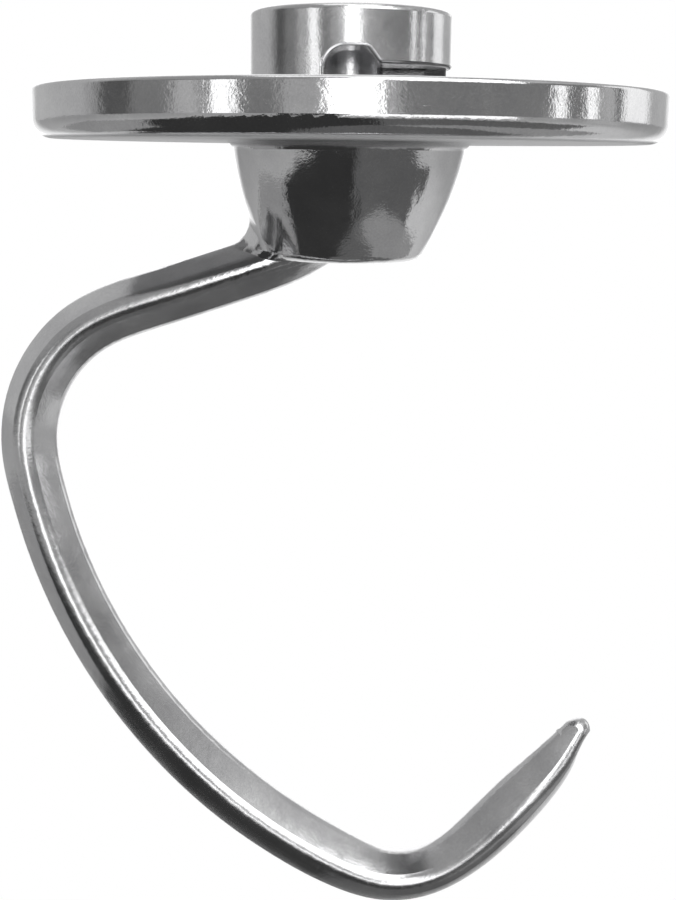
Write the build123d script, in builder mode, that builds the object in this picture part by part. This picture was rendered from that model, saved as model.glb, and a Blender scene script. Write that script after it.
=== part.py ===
"""Stand mixer dough hook: one casting with a drive collar, a guard dish, a hub and a curved arm.

Millimetres, +Z up. The origin is on the axis of the drive bore, level with the guard's underside.
The photographed side faces -Y and the arm bows out to -X.
"""
import os

from build123d import *

# Guard dish
guard_radius = 51.0
guard_height = 7.9
guard_floor = 3.8
rim_width = 3.2
rim_round = 0.7
guard_corner_round = 3.0
dish_corner_round = 1.6

# Collar and its drive bore
collar_radius = 16.4
collar_top = 20.4
collar_round = 0.9
collar_foot_round = 1.2
bore_radius = 6.5
bore_depth = 34.0
bore_chamfer = 0.6

# Keyway for the drive pin, open at the collar's top
keyway_width = 7.6
keyway_reach = 12.2

# Window for the drive pin: a level slot that ends in a raised pocket at the front
slot_top = 11.6
slot_sweep = 104.0
pocket_left = -4.1
pocket_crown = 14.1
crown_right = 2.4
ramp_foot = 4.5
pocket_left_round = 3.4
pocket_right_round = 1.2
window_round = 0.5
keyway_round = 1.0

# Hub under the guard, a bulging cone that leans a little towards the arm
hub_top_radius = 19.3
hub_waist_radius = 17.0
hub_waist_drop = 9.6
hub_bottom_radius = 12.8
hub_height = 19.0
hub_lean = 0.04
hub_guard_round = 1.6
hub_bottom_round = 2.2

# Rounding of the arm's root into the hub, made on a longer cone
arm_root_round = 4.5
arm_root_reach = 25.0
cone_drop = 30.6
cone_end_radius = 4.4

# Centre line of the arm, drawn in a plane that leans towards the photographed side
arm_lean = 5.0
arm_root_drop = 15.6
arm_slope = 18.0
arm_straight_length = 39.6
shoulder_radius = 23.2
shoulder_turn = 83.0
belly_radius = 97.6
belly_turn = 54.4
foot_radius = 17.9
foot_turn = 67.0
tip_radius = 130.0
tip_turn = 13.9

# Ridged cross-section of the arm, a rhombus with bulging sides
arm_half_width = 5.1
arm_half_depth = 6.7
arm_bulge = 0.3
arm_corner_round = 2.4
arm_twist = 28.0

# Its course: place along the arm, then shares of the half width, half depth, rounding and twist
arm_sections = [
    (0.00, 0.45, 1.00, 0.75, 0.00),
    (0.05, 0.94, 1.00, 1.00, 0.00),
    (0.09, 1.00, 1.00, 1.00, 0.00),
    (0.20, 1.02, 1.00, 1.00, 0.00),
    (0.38, 1.00, 1.00, 1.00, 0.00),
    (0.50, 1.04, 1.00, 1.00, 0.00),
    (0.64, 1.09, 1.00, 1.00, 0.00),
    (0.73, 1.08, 0.98, 1.00, 0.00),
    (0.83, 0.91, 0.95, 1.00, 0.20),
    (0.91, 1.06, 0.89, 1.00, 0.60),
    (0.94, 0.98, 0.76, 0.90, 0.75),
    (0.965, 0.79, 0.61, 0.80, 0.88),
    (1.00, 0.50, 0.41, 0.70, 1.00),
]
section_count = 28
tip_length = 4.5
tip_half_width = 2.9

# Centre line of the arm
hook_plane = Plane((0, 0, -arm_root_drop), x_dir=(1, 0, 0), z_dir=(0, -1, 0))
hook_plane = hook_plane.rotated((-arm_lean, 0, 0))
with BuildLine(hook_plane) as centre_line:
    straight = PolarLine((0, 0), arm_straight_length, 180 + arm_slope)
    shoulder = JernArc(straight @ 1, straight % 1, shoulder_radius, shoulder_turn)
    belly = JernArc(shoulder @ 1, shoulder % 1, belly_radius, belly_turn)
    foot = JernArc(belly @ 1, belly % 1, foot_radius, foot_turn)
    JernArc(foot @ 1, foot % 1, tip_radius, tip_turn)
arm_path = centre_line.wire()


def section_at(place):
    """Half width, half depth, rounding and twist at a place, on straight lines between the listed ones."""
    sizes = (arm_half_width, arm_half_depth, arm_corner_round, arm_twist)
    for before, after in zip(arm_sections, arm_sections[1:]):
        if place <= after[0]:
            way = (place - before[0]) / (after[0] - before[0])
            shares = [low + way * (high - low) for low, high in zip(before[1:], after[1:])]
            break
    return [size * share for size, share in zip(sizes, shares)]


# Arm, lofted through its ridged sections
with BuildPart() as arm:
    for step in range(section_count + 1):
        place = step / section_count
        half_width, half_depth, corner_round, twist = section_at(place)
        across = Plane(arm_path @ place, x_dir=hook_plane.z_dir, z_dir=arm_path % place)
        across = across.rotated((0, 0, twist))
        corners = [(half_depth, 0), (0, half_width), (-half_depth, 0), (0, -half_width)]
        with BuildSketch(across) as ridged:
            with BuildLine():
                for corner, following in zip(corners, corners[1:] + corners[:1]):
                    SagittaArc(corner, following, -arm_bulge * half_width / arm_half_width)
            make_face()
            fillet(ridged.vertices(), corner_round)
    loft()

    # Rounded tip
    with BuildSketch(Plane(arm_path @ 1, x_dir=arm_path % 1, z_dir=hook_plane.z_dir)):
        with BuildLine():
            cap = EllipticalCenterArc(
                (-tip_length, 0), tip_length, tip_half_width, start_angle=0, arc_size=90
            )
            Polyline(
                cap @ 1, (-tip_length, arm_half_depth), (arm_half_depth, arm_half_depth),
                (arm_half_depth, 0), cap @ 0,
            )
        make_face()
    revolve(axis=Axis(arm_path @ 1, arm_path % 1), mode=Mode.SUBTRACT)

# Hub: its cone first runs on past the flat end, so that the arm's root can be rounded into it
hub_rings = [
    (0, hub_top_radius),
    (hub_waist_drop, hub_waist_radius),
    (hub_height, hub_bottom_radius),
    (cone_drop, cone_end_radius),
]
with BuildPart() as long_hub:
    for drop, radius in hub_rings:
        with BuildSketch(Plane.XY.offset(-drop)):
            with Locations((-hub_lean * drop, 0)):
                Circle(radius)
    loft()
    add(arm.part)
    flank = long_hub.faces().sort_by_distance((hub_top_radius, 0, 0))[0]
    root_edges = [
        edge for edge in flank.edges()
        if edge.bounding_box().max.X < 0 and edge.bounding_box().max.Z < -1
    ]
    fillet(root_edges, arm_root_round)

# The hub's flat end gives way to the level of the arm's ridges where the centre line leaves it
arm_start = arm_path % 0
end_plane = Plane.XY.offset(-hub_height)
ridge_plane = Plane(arm_path @ 0, x_dir=(0, 1, 0), z_dir=(-arm_start.Z, 0, arm_start.X))
parting = (arm_root_drop - hub_height) * arm_start.X / arm_start.Z

# Rounded root above the arm's ridges
with BuildPart() as root:
    add(long_hub.part)
    split(bisect_by=Plane.YZ.offset(parting / 2), keep=Keep.BOTTOM)
    split(bisect_by=Plane.YZ.offset(-arm_root_reach), keep=Keep.TOP)
    split(bisect_by=ridge_plane, keep=Keep.BOTTOM)
    underside = root.faces().filter_by(ridge_plane)[0]
    fillet(underside.edges().sort_by(Axis.X)[1:-1], hub_bottom_round)
    split(bisect_by=Plane.YZ.offset(parting), keep=Keep.BOTTOM)

# Rounded flat end of the hub, joined with the whole arm and its root
with BuildPart() as dough_hook:
    add(long_hub.part)
    split(bisect_by=end_plane, keep=Keep.TOP)
    split(bisect_by=Plane.YZ.offset(parting), keep=Keep.TOP)
    flat_end = dough_hook.faces().sort_by(Axis.Z)[0]
    fillet(flat_end.edges().sort_by(Axis.X)[1:], hub_bottom_round)
    add(arm.part)
    add(root.part)

    # Guard dish with its rim, and the collar standing in it
    upright = (Align.CENTER, Align.CENTER, Align.MIN)
    Cylinder(guard_radius, guard_height, align=upright)
    with Locations((0, 0, guard_floor)):
        Cylinder(guard_radius - rim_width, guard_height, align=upright, mode=Mode.SUBTRACT)
    Cylinder(collar_radius, collar_top, align=upright)

    # Rounded edges of the guard and the collar
    rings = dough_hook.edges().filter_by(GeomType.CIRCLE)
    guard_rings = rings.filter_by(lambda ring: ring.radius > guard_radius - 0.01).sort_by(Axis.Z)
    dish_rings = rings.filter_by(
        lambda ring: abs(ring.radius - guard_radius + rim_width) < 0.01
    ).sort_by(Axis.Z)
    collar_rings = rings.filter_by(lambda ring: abs(ring.radius - collar_radius) < 0.01).sort_by(Axis.Z)
    hub_ring = dough_hook.edges().filter_by_position(Axis.Z, -0.01, 0.01).filter_by(GeomType.BSPLINE)
    fillet(guard_rings[0], guard_corner_round)
    fillet([guard_rings[-1], dish_rings[-1]], rim_round)
    fillet(dish_rings[0], dish_corner_round)
    fillet(collar_rings[0], collar_foot_round)
    fillet(collar_rings[-1], collar_round)
    fillet(hub_ring, hub_guard_round)

    # Drive bore and the keyway beside it
    with Locations((0, 0, collar_top)):
        Cylinder(
            bore_radius, bore_depth,
            align=(Align.CENTER, Align.CENTER, Align.MAX), mode=Mode.SUBTRACT,
        )
        Box(
            keyway_reach, keyway_width, collar_top - guard_floor,
            align=(Align.MIN, Align.CENTER, Align.MAX), mode=Mode.SUBTRACT,
        )
    keyway_edges = dough_hook.edges().filter_by(Axis.Z).sort_by_distance((0, 0, guard_floor))[:2]
    fillet(keyway_edges, keyway_round)
    mouth = dough_hook.faces().sort_by(Axis.Z)[-1]
    chamfer(mouth.inner_wires()[0].edges(), bore_chamfer)

    # Pin window: the level slot round to the side, then the pocket at the front
    window_reach = collar_radius + 1
    with BuildSketch(Plane.YZ):
        with Locations((-window_reach, guard_floor)):
            Rectangle(window_reach, slot_top - guard_floor, align=(Align.MIN, Align.MIN))
    revolve(axis=Axis.Z, revolution_arc=slot_sweep, mode=Mode.SUBTRACT)
    with BuildSketch(Plane.XZ) as pocket:
        with BuildLine():
            Polyline(
                (pocket_left, guard_floor), (pocket_left, pocket_crown), (crown_right, pocket_crown),
                (ramp_foot, slot_top), (ramp_foot, guard_floor), close=True,
            )
        make_face()
        fillet(pocket.vertices().group_by(Axis.Y)[-1].sort_by(Axis.X)[0], pocket_left_round)
        fillet(pocket.vertices().group_by(Axis.Y)[-1].sort_by(Axis.X)[-1], pocket_right_round)
    extrude(amount=window_reach, mode=Mode.SUBTRACT)
    collar_wall = dough_hook.faces().filter_by(
        lambda face: face.geom_type == GeomType.CYLINDER and abs(face.radius - collar_radius) < 0.01
    )
    window_edges = collar_wall.edges().filter_by(
        lambda edge: guard_floor + collar_foot_round + 0.1 < edge.center().Z < pocket_crown + 0.1
    )
    fillet(window_edges, window_round)

dough_hook.part.label = "dough_hook"
os.makedirs("parts", exist_ok=True)
export_step(dough_hook.part, "parts/dough_hook.step")
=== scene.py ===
"""Looks of the stand mixer dough hook: burnished metal in a plain white studio, seen as in the photo."""
import math

import bpy
from mathutils import Matrix, Vector

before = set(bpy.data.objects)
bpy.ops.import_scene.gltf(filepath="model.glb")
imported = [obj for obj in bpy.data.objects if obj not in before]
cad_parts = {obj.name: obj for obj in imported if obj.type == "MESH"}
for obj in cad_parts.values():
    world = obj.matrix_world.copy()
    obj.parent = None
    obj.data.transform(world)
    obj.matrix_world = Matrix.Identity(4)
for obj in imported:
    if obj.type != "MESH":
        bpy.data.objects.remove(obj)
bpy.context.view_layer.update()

# Camera, in metres and degrees, in the frame of the part
CAMERA_PLACE = (0.0, -0.2368, -0.0026)
CAMERA_PITCH = 11.71
CAMERA_YAW = 0.33
CAMERA_ROLL = 0.64
CAMERA_LENS = 56.32
CAMERA_CLIP_START = 0.005

# Metal: its colour, from the dark to the light of its clouds and speckle
TINT_DARK = (0.63, 0.63, 0.64, 1)
TINT_LIGHT = (0.81, 0.81, 0.815, 1)
CLOUD_SHARE = 0.7
GRAIN_SHARE = 0.3

# Metal: roughness of the polished guard and hub, and how much rougher some parts are
POLISH_FINE = 0.07
POLISH_COARSE = 0.12
ARM_SATIN = 0.11
COLLAR_SATIN = 0.08
UNDERSIDE_SATIN = 0.5

# Metal: painted shade, as how much of its brightness is left in corners, under the guard and along the slot's
# edge
CORNER_REACH = 0.0025
CORNER_EDGE = (0.25, 0.75)
CORNER_SHADE = 0.35
UNDERSIDE_SHADE = 0.85
SLOT_EDGE_SHADE = 0.3

# Metal: scales of its textures, and strength and depth in metres of their relief
CLOUD_SCALE = 90.0
WAVE_SCALE = 150.0
WAVE_STRETCH = (1.0, 1.0, 0.3)
WAVE_STRENGTH = 0.1
WAVE_STRENGTH_ON_HUB = 1.0
WAVE_DEPTH = 0.0006
DENT_SCALE = 900.0
DENT_STRENGTH = 0.25
DENT_DEPTH = 0.00008
GRAIN_SCALE = 3000.0
GRAIN_STRENGTH = 0.6
GRAIN_DEPTH = 0.00002
NOISE_RANGE = (0.35, 0.65)

# Soft edges between the parts: the heights in metres from which and to which the finish or the painted shade
# changes
ARM_TOP = (-0.026, -0.018)
HUB_BOTTOM = (-0.023, -0.017)
HUB_TOP = (-0.003, 0.0)
UNDERSIDE_BOTTOM = (-0.0012, -0.0004)
UNDERSIDE_TOP = (0.0001, 0.0006)
COLLAR_BOTTOM = (0.0076, 0.0084)
SLOT_EDGE_BOTTOM = (0.0106, 0.0109)
SLOT_EDGE_TOP = (0.0120, 0.0122)

# Where the slot begins beside its pocket, along X, and with it the painted shade along the slot's edge
SLOT_START = (0.0040, 0.0048)

# Floor and room: grey levels, and the soft edges of the white part behind the object
FLOOR_LEVEL = -0.42
FLOOR_RADIUS = 8.0
FLOOR_COLOUR = (0.8, 0.8, 0.8, 1)
FLOOR_WHITE_EDGE = (0.3, 0.5)
WHITE_EDGE = (0.80, 0.92)
WHITE_TOP_EDGE = (0.8, 0.97)
ROOM_FRONT = 0.22
ROOM_SIDE = 0.5
ROOM_SIDE_EDGE = (0.0, 0.3)
ROOM_OVER = 0.34
ROOM_OVER_EDGE = (0.1, 0.5)

# Flags that lie flat below the object: grey level, height, and outline from above in metres
FLAGS = {
    "dark_flag": (0.04, -0.36, [
        (-0.06, 0.12), (-0.30, 0.24), (-0.36, 0.0), (-0.95, -0.26), (-0.95, -0.70), (-0.62, -1.15),
        (0.17, -1.25), (0.06, -0.32), (-0.04, -0.24), (-0.07, -0.10),
    ]),
    "right_flag": (0.13, -0.36, [
        (0.06, -0.32), (0.17, -1.25), (0.75, -1.10), (1.05, -0.60), (0.95, 0.02), (0.46, 0.0), (0.30, -0.32),
    ]),
    "left_flag": (0.32, -0.36, [
        (-0.30, 0.24), (-0.36, 0.0), (-0.95, -0.24), (-1.20, 0.30), (-0.70, 0.60), (-0.35, 0.42),
    ]),
    "under_flag": (0.13, -0.37, [
        (-0.17, -0.36), (0.06, -0.36), (0.22, -0.16), (0.22, 0.14), (0.02, 0.16), (-0.17, 0.16),
    ]),
    "table_flag": (0.3, -0.38, [(-0.5, -0.40), (0.5, -0.40), (0.5, 0.24), (-0.5, 0.24)]),
}

# Cards that stand upright beside the object, a metre off: grey level, and first and last azimuth
CARDS = {
    "left_card": (0.1, -92, -78),
    "right_card": (0.06, 101, 105),
}
CARD_BOTTOM = Vector((0, 0, -0.06))
CARD_TOP = Vector((0, 0, 0.3))

# Lamps: azimuth, elevation, width and height in degrees seen from the object, and radiance
LAMP_DISTANCE = 1.2
STUDIO_CENTRE = Vector((0.0, 0.0, -0.02))
LAMPS = {
    "key": (38, 40, 44, 52, 1.6),
    "overhead": (0, 80, 40, 40, 0.8),
    "back": (180, 8, 44, 70, 0.35),
    "front_strip": (1, 20, 18, 46, 1.5),
    "front_glow": (-3, 8, 40, 28, 0.2),
    "left_strip": (-42, 6, 10, 20, 1.3),
    "left_glow": (-56, 7, 10, 14, 0.27),
    "low_front": (24, -6, 64, 7, 1.2),
    "right_strip": (74, 5, 5, 14, 1.3),
    "far_right_strip": (88, 4, 5, 9, 1.2),
    "side_glow": (96, 2, 20, 26, 0.1),
    "right_panel": (114, 14, 22, 32, 0.6),
    "right_glow": (84, 44, 24, 20, 0.24),
}


def nodes_of(owner):
    """Node tree of a material or world, emptied."""
    owner.use_nodes = True
    tree = owner.node_tree
    tree.nodes.clear()
    return tree


def add_node(tree, kind, **inputs):
    """New node with some of its inputs set, by name."""
    node = tree.nodes.new(kind)
    for name, value in inputs.items():
        node.inputs[name.replace("_", " ")].default_value = value
    return node


def math_node(tree, operation, *values):
    """Result of a math node fed by sockets or plain numbers."""
    node = tree.nodes.new("ShaderNodeMath")
    node.operation = operation
    for socket, value in zip(node.inputs, values):
        if isinstance(value, (int, float)):
            socket.default_value = value
        else:
            tree.links.new(value, socket)
    return node.outputs[0]


def ramp(tree, value, edge, levels=(0.0, 1.0)):
    """Smooth step from the first level to the second, between the two ends of an edge."""
    node = tree.nodes.new("ShaderNodeMapRange")
    node.interpolation_type = "SMOOTHSTEP"
    node.inputs["From Min"].default_value = edge[0]
    node.inputs["From Max"].default_value = edge[1]
    node.inputs["To Min"].default_value = levels[0]
    node.inputs["To Max"].default_value = levels[1]
    tree.links.new(value, node.inputs["Value"])
    return node.outputs["Result"]


def band(tree, value, low_edge, high_edge):
    """1 between two soft edges and 0 outside them."""
    falling = ramp(tree, value, high_edge, (1.0, 0.0))
    return math_node(tree, "MULTIPLY", ramp(tree, value, low_edge), falling)


def share_behind(tree, place):
    """Height, depth and backward share of a place; the share is 1 straight behind the object, 0 beside it."""
    split = add_node(tree, "ShaderNodeSeparateXYZ")
    tree.links.new(place, split.inputs[0])
    level = add_node(tree, "ShaderNodeCombineXYZ")
    for axis in ("X", "Y"):
        tree.links.new(split.outputs[axis], level.inputs[axis])
    reach = add_node(tree, "ShaderNodeVectorMath")
    reach.operation = "LENGTH"
    tree.links.new(level.outputs["Vector"], reach.inputs[0])
    share = math_node(tree, "DIVIDE", split.outputs["Y"], reach.outputs["Value"])
    return split.outputs["Z"], split.outputs["Y"], share


def toward(azimuth, elevation):
    """Direction from the object; azimuth 0 is the photographed side and 90 the right."""
    turn = math.radians(azimuth)
    rise = math.radians(elevation)
    return Vector((math.sin(turn) * math.cos(rise), -math.cos(turn) * math.cos(rise), math.sin(rise)))


def burnished_metal():
    """Bright burnished aluminium with shallow waves, small dents and a fine grain; the arm is more satin. Its
    colour has painted shade in corners, under the guard and along the slot's edge.
    """
    material = bpy.data.materials.new("burnished_metal")
    tree = nodes_of(material)
    output = add_node(tree, "ShaderNodeOutputMaterial")
    shader = add_node(tree, "ShaderNodeBsdfPrincipled", Metallic=1.0)
    tree.links.new(shader.outputs["BSDF"], output.inputs["Surface"])
    place = add_node(tree, "ShaderNodeTexCoord").outputs["Object"]
    split = add_node(tree, "ShaderNodeSeparateXYZ")
    tree.links.new(place, split.inputs[0])
    height = split.outputs["Z"]

    cloud = add_node(tree, "ShaderNodeTexNoise", Scale=CLOUD_SCALE, Detail=4.0, Roughness=0.6)
    waves = add_node(tree, "ShaderNodeTexNoise", Scale=WAVE_SCALE, Detail=1.0, Roughness=0.4)
    dents = add_node(tree, "ShaderNodeTexNoise", Scale=DENT_SCALE, Detail=2.0, Roughness=0.5)
    grain = add_node(tree, "ShaderNodeTexNoise", Scale=GRAIN_SCALE, Detail=2.0, Roughness=0.6)
    drawn = add_node(tree, "ShaderNodeMapping", Scale=WAVE_STRETCH)
    tree.links.new(place, drawn.inputs["Vector"])
    tree.links.new(drawn.outputs["Vector"], waves.inputs["Vector"])
    for texture in (cloud, dents, grain):
        tree.links.new(place, texture.inputs["Vector"])

    # Parts of the surface with a finish or painted shade of their own: the hub its waves, the underside its
    # roughness and painted shade, the slot's edge only painted shade
    underside = band(tree, height, UNDERSIDE_BOTTOM, UNDERSIDE_TOP)
    on_hub = band(tree, height, HUB_BOTTOM, HUB_TOP)
    slot_edge = band(tree, height, SLOT_EDGE_BOTTOM, SLOT_EDGE_TOP)
    slot_edge = math_node(tree, "MULTIPLY", slot_edge, ramp(tree, split.outputs["X"], SLOT_START))

    # Colour: faint clouds under a faint speckle
    clouds = math_node(tree, "MULTIPLY", cloud.outputs["Fac"], CLOUD_SHARE)
    speckle = math_node(tree, "MULTIPLY", grain.outputs["Fac"], GRAIN_SHARE)
    tint = add_node(tree, "ShaderNodeValToRGB")
    for stop, position, colour in zip(tint.color_ramp.elements, NOISE_RANGE, (TINT_DARK, TINT_LIGHT)):
        stop.position = position
        stop.color = colour
    tree.links.new(math_node(tree, "ADD", clouds, speckle), tint.inputs["Fac"])

    # Painted shade: the colour is darkened in corners, on the guard's underside and along the slot's edge
    corner = add_node(tree, "ShaderNodeAmbientOcclusion", Distance=CORNER_REACH)
    corner.samples = 8
    painted_shade = ramp(tree, corner.outputs["AO"], CORNER_EDGE, (CORNER_SHADE, 1.0))
    for part, shade in ((underside, UNDERSIDE_SHADE), (slot_edge, SLOT_EDGE_SHADE)):
        painted_shade = math_node(tree, "MULTIPLY", painted_shade, ramp(tree, part, (0.0, 1.0), (1.0, shade)))
    shaded = add_node(tree, "ShaderNodeMix", Factor=1.0)
    shaded.data_type = "RGBA"
    shaded.blend_type = "MULTIPLY"
    tree.links.new(tint.outputs["Color"], shaded.inputs[6])
    tree.links.new(painted_shade, shaded.inputs[7])
    tree.links.new(shaded.outputs[2], shader.inputs["Base Color"])

    # Polish: high on the guard and hub, lower on the collar, the arm and the underside
    satin = ramp(tree, height, ARM_TOP, (ARM_SATIN, 0.0))
    satin = math_node(tree, "ADD", satin, ramp(tree, height, COLLAR_BOTTOM, (0.0, COLLAR_SATIN)))
    satin = math_node(tree, "ADD", satin, math_node(tree, "MULTIPLY", underside, UNDERSIDE_SATIN))
    polish = ramp(tree, cloud.outputs["Fac"], NOISE_RANGE, (POLISH_FINE, POLISH_COARSE))
    tree.links.new(math_node(tree, "ADD", polish, satin), shader.inputs["Roughness"])

    # Relief: the waves are deeper on the hand-finished hub
    bumps = []
    for texture, strength, depth in (
        (waves, WAVE_STRENGTH, WAVE_DEPTH),
        (dents, DENT_STRENGTH, DENT_DEPTH),
        (grain, GRAIN_STRENGTH, GRAIN_DEPTH),
    ):
        bump = add_node(tree, "ShaderNodeBump", Strength=strength, Distance=depth)
        tree.links.new(texture.outputs["Fac"], bump.inputs["Height"])
        if bumps:
            tree.links.new(bumps[-1].outputs["Normal"], bump.inputs["Normal"])
        bumps.append(bump)
    wave_strength = ramp(tree, on_hub, (0.0, 1.0), (WAVE_STRENGTH, WAVE_STRENGTH_ON_HUB))
    tree.links.new(wave_strength, bumps[0].inputs["Strength"])
    tree.links.new(bumps[-1].outputs["Normal"], shader.inputs["Normal"])
    return material


def pale_floor():
    """Matt pale floor that keeps soft shadows and turns white far behind the object, as its background."""
    material = bpy.data.materials.new("pale_floor")
    tree = nodes_of(material)
    output = add_node(tree, "ShaderNodeOutputMaterial")
    matt = add_node(tree, "ShaderNodeBsdfDiffuse", Color=FLOOR_COLOUR)
    white = add_node(tree, "ShaderNodeEmission")
    mixed = add_node(tree, "ShaderNodeMixShader")
    place = add_node(tree, "ShaderNodeTexCoord").outputs["Object"]
    _, depth, behind = share_behind(tree, place)
    far = ramp(tree, depth, FLOOR_WHITE_EDGE)
    far = math_node(tree, "MULTIPLY", far, ramp(tree, behind, WHITE_EDGE))
    path = add_node(tree, "ShaderNodeLightPath")
    seen = math_node(tree, "MAXIMUM", path.outputs["Is Camera Ray"], path.outputs["Is Glossy Ray"])
    seen = math_node(tree, "MAXIMUM", seen, path.outputs["Is Transmission Ray"])
    tree.links.new(math_node(tree, "MULTIPLY", seen, far), mixed.inputs["Fac"])
    tree.links.new(matt.outputs["BSDF"], mixed.inputs[1])
    tree.links.new(white.outputs["Emission"], mixed.inputs[2])
    tree.links.new(mixed.outputs["Shader"], output.inputs["Surface"])
    return material


def flag_cloth(name, level):
    """Even grey cloth of a studio flag."""
    material = bpy.data.materials.new(name)
    tree = nodes_of(material)
    output = add_node(tree, "ShaderNodeOutputMaterial")
    cloth = add_node(tree, "ShaderNodeEmission", Color=(level, level, level, 1))
    tree.links.new(cloth.outputs["Emission"], output.inputs["Surface"])
    return material


def studio_world():
    """Grey room, lighter overhead and towards the back, and white straight behind the object."""
    world = bpy.data.worlds.new("studio")
    bpy.context.scene.world = world
    tree = nodes_of(world)
    output = add_node(tree, "ShaderNodeOutputWorld")
    background = add_node(tree, "ShaderNodeBackground", Strength=1.0)
    place = add_node(tree, "ShaderNodeTexCoord").outputs["Generated"]
    height, depth, behind = share_behind(tree, place)
    side = ramp(tree, depth, ROOM_SIDE_EDGE, (ROOM_FRONT, ROOM_SIDE))
    over = ramp(tree, height, ROOM_OVER_EDGE, (0.0, ROOM_OVER))
    back = ramp(tree, behind, WHITE_EDGE)
    back = math_node(tree, "MULTIPLY", back, ramp(tree, height, WHITE_TOP_EDGE, (1.0, 0.0)))
    level = math_node(tree, "MAXIMUM", math_node(tree, "MAXIMUM", side, over), back)
    colour = add_node(tree, "ShaderNodeCombineColor")
    for channel in colour.inputs:
        tree.links.new(level, channel)
    tree.links.new(colour.outputs["Color"], background.inputs["Color"])
    tree.links.new(background.outputs["Background"], output.inputs["Surface"])


def add_softbox(name, azimuth, elevation, wide, tall, radiance):
    """Area lamp that faces the object and isn't seen by the camera."""
    lamp = bpy.data.lights.new(name, "AREA")
    lamp.shape = "RECTANGLE"
    lamp.size = 2 * LAMP_DISTANCE * math.tan(math.radians(wide / 2))
    lamp.size_y = 2 * LAMP_DISTANCE * math.tan(math.radians(tall / 2))
    lamp.energy = radiance * math.pi * lamp.size * lamp.size_y
    box = bpy.data.objects.new(name, lamp)
    bpy.context.scene.collection.objects.link(box)
    direction = toward(azimuth, elevation)
    box.location = STUDIO_CENTRE + direction * LAMP_DISTANCE
    box.rotation_mode = "QUATERNION"
    box.rotation_quaternion = (-direction).to_track_quat("-Z", "Y")
    box.visible_camera = False


def add_sheet(name, corners, material):
    """Flat sheet of the studio."""
    mesh = bpy.data.meshes.new(name)
    mesh.from_pydata(corners, [], [range(len(corners))])
    sheet = bpy.data.objects.new(name, mesh)
    bpy.context.scene.collection.objects.link(sheet)
    mesh.materials.append(material)
    return sheet


def add_flag(name, level, corners):
    """Sheet that shows only as a reflection in the metal."""
    flag = add_sheet(name, corners, flag_cloth(name, level))
    flag.visible_camera = False
    flag.visible_diffuse = False
    flag.visible_shadow = False


# Metal on the CAD node
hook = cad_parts["dough_hook"]
hook.data.materials.clear()
hook.data.materials.append(burnished_metal())

# Floor, flags, cards, room and lamps
floor_turns = [math.radians(turn) for turn in range(0, 360, 10)]
floor_corners = [
    (FLOOR_RADIUS * math.cos(turn), FLOOR_RADIUS * math.sin(turn), FLOOR_LEVEL) for turn in floor_turns
]
add_sheet("floor", floor_corners, pale_floor())
for name, (level, height, outline) in FLAGS.items():
    add_flag(name, level, [(x, y, height) for x, y in outline])
for name, (level, first, last) in CARDS.items():
    start = toward(first, 0)
    end = toward(last, 0)
    add_flag(name, level, [start + CARD_BOTTOM, end + CARD_BOTTOM, end + CARD_TOP, start + CARD_TOP])
studio_world()
for name, lamp in LAMPS.items():
    add_softbox(name, *lamp)

# Camera at the photo's viewing angle
pitch, yaw, roll = (math.radians(angle) for angle in (CAMERA_PITCH, CAMERA_YAW, CAMERA_ROLL))
ahead = Vector((-math.sin(yaw) * math.cos(pitch), math.cos(yaw) * math.cos(pitch), -math.sin(pitch)))
level_right = Vector((math.cos(yaw), math.sin(yaw), 0))
level_up = level_right.cross(ahead)
right = level_right * math.cos(roll) + level_up * math.sin(roll)
up = level_up * math.cos(roll) - level_right * math.sin(roll)
facing = Matrix((right, up, -ahead)).transposed()
camera = bpy.data.objects.new("camera", bpy.data.cameras.new("camera"))
bpy.context.scene.collection.objects.link(camera)
camera.matrix_world = Matrix.Translation(CAMERA_PLACE) @ facing.to_4x4()
camera.data.lens = CAMERA_LENS
camera.data.clip_start = CAMERA_CLIP_START
bpy.context.scene.camera = camera
bpy.context.scene.view_settings.view_transform = "Standard"
